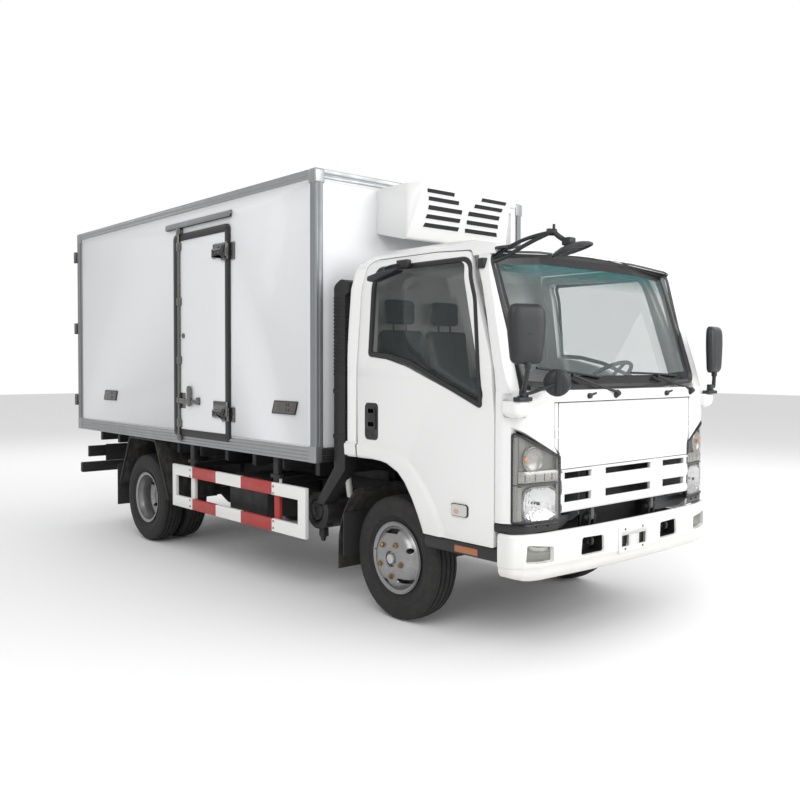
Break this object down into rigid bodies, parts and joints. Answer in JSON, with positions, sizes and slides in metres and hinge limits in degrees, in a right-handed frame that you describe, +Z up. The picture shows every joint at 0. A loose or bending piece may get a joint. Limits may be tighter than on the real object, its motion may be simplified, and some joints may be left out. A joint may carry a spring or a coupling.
{
  "type": "refrigerated truck",
  "caption": "Light cab-over truck with a tilting cab, steered front wheels, twin rear wheels and an insulated box with a nose-mounted cooling unit, a side door and rear double doors.",
  "frame": {"origin": "on the ground, at the centre of the outline seen from above", "axes": "+Z up; the truck faces -Y, so +X is its left side; lengths in metres"},
  "size_m": [2.2211, 6.204, 2.891],
  "materials": {
    "white_paint": "gloss",
    "panel_white": "semi-gloss skin over foam",
    "aluminium": "satin",
    "chassis_black": "semi-gloss",
    "black_plastic": "fine grain",
    "silver_wheel": "semi-gloss",
    "tyre": "matt",
    "glass": "clear",
    "lamp": "clear lens over chrome",
    "seat_cloth": "woven",
    "cab_trim": "fine grain",
    "iron": "bare",
    "steel": "bare"
  },
  "bodies": {
    "chassis": {"frame_rail_left": "chassis_black", "frame_rail_right": "chassis_black", "frame_crossmembers": "chassis_black", "front_axle_beam": "chassis_black", "leaf_springs": "chassis_black", "rear_axle": "chassis_black", "engine_block": "iron", "drive_line": "iron", "radiator": "black_plastic", "fuel_tank": "chassis_black", "battery_box": "chassis_black", "air_cleaner": "black_plastic", "silencer": "steel", "side_guards": "white_paint", "rear_underrun_bar": "chassis_black", "mudguards": "black_plastic", "front_bumper": "white_paint", "box_floor": "aluminium", "box_front_wall": "panel_white", "box_wall_left": "panel_white", "box_wall_right": "panel_white", "box_roof": "panel_white", "box_edge_rails": "aluminium", "refrigeration_unit": "white_paint"},
    "cab": {"cab_floor": "cab_trim", "cab_rear_wall": "white_paint", "cab_roof": "white_paint", "cab_front": "white_paint", "front_lid": "white_paint", "windshield": "glass", "dashboard": "cab_trim", "steering_wheel": "cab_trim", "seats": "seat_cloth", "headlamps": "lamp", "mirrors": "black_plastic"},
    "cab_door_left": {"door_left": "white_paint", "door_glass_left": "glass"},
    "cab_door_right": {"door_right": "white_paint", "door_glass_right": "glass"},
    "steering_left": {"knuckle_left": "iron"},
    "steering_right": {"knuckle_right": "iron"},
    "track_rod": {"tie_rod": "iron"},
    "wheel_front_left": {"front_left_rim": "silver_wheel", "front_left_tyre": "tyre"},
    "wheel_front_right": {"front_right_rim": "silver_wheel", "front_right_tyre": "tyre"},
    "wheels_rear_left": {"rear_left_rims": "silver_wheel", "rear_left_tyres": "tyre"},
    "wheels_rear_right": {"rear_right_rims": "silver_wheel", "rear_right_tyres": "tyre"},
    "box_side_door": {"side_door": "panel_white"},
    "box_rear_door_left": {"rear_door_left": "panel_white"},
    "box_rear_door_right": {"rear_door_right": "panel_white"}
  },
  "joints": [
    {"name": "cab_tilt", "type": "hinge", "parent": "chassis", "child": "cab", "pos_m": [0, -2.792, 0.72], "axis": [1, 0, 0], "range_deg": [0, 45]},
    {"name": "door_left_open", "type": "hinge", "parent": "cab", "child": "cab_door_left", "pos_m": [0.958, -2.667, 1.4], "axis": [0, 0, -1], "range_deg": [0, 70]},
    {"name": "door_right_open", "type": "hinge", "parent": "cab", "child": "cab_door_right", "pos_m": [-0.958, -2.667, 1.4], "axis": [0, 0, 1], "range_deg": [0, 70]},
    {"name": "steer_left", "type": "hinge", "parent": "chassis", "child": "steering_left", "pos_m": [0.7, -1.742, 0.3875], "axis": [0, 0, 1], "range_deg": [-35, 35]},
    {"name": "steer_right", "type": "hinge", "parent": "chassis", "child": "steering_right", "pos_m": [-0.7, -1.742, 0.3875], "axis": [0, 0, 1], "range_deg": [-35, 35]},
    {"name": "track_rod_turn", "type": "hinge", "parent": "steering_left", "child": "track_rod", "pos_m": [0.7, -1.592, 0.3155], "axis": [0, 0, 1], "range_deg": [-35, 35]},
    {"name": "wheel_front_left_turn", "type": "hinge", "parent": "steering_left", "child": "wheel_front_left", "pos_m": [0.7885, -1.742, 0.3875], "axis": [1, 0, 0], "continuous": true},
    {"name": "wheel_front_right_turn", "type": "hinge", "parent": "steering_right", "child": "wheel_front_right", "pos_m": [-0.7885, -1.742, 0.3875], "axis": [1, 0, 0], "continuous": true},
    {"name": "wheels_rear_left_turn", "type": "hinge", "parent": "chassis", "child": "wheels_rear_left", "pos_m": [0.7625, 1.618, 0.3875], "axis": [1, 0, 0], "continuous": true},
    {"name": "wheels_rear_right_turn", "type": "hinge", "parent": "chassis", "child": "wheels_rear_right", "pos_m": [-0.7625, 1.618, 0.3875], "axis": [1, 0, 0], "continuous": true},
    {"name": "side_door_open", "type": "hinge", "parent": "chassis", "child": "box_side_door", "pos_m": [-1.05, 0.027, 1.8], "axis": [0, 0, 1], "range_deg": [0, 170]},
    {"name": "rear_door_left_open", "type": "hinge", "parent": "chassis", "child": "box_rear_door_left", "pos_m": [1.035, 3.092, 1.9], "axis": [0, 0, -1], "range_deg": [0, 255]},
    {"name": "rear_door_right_open", "type": "hinge", "parent": "chassis", "child": "box_rear_door_right", "pos_m": [-1.035, 3.092, 1.9], "axis": [0, 0, 1], "range_deg": [0, 255]}
  ],
  "couplings": [
    {"joint": "steer_right", "follows": "steer_left", "ratio": 1},
    {"joint": "track_rod_turn", "follows": "steer_left", "ratio": -1}
  ]
}
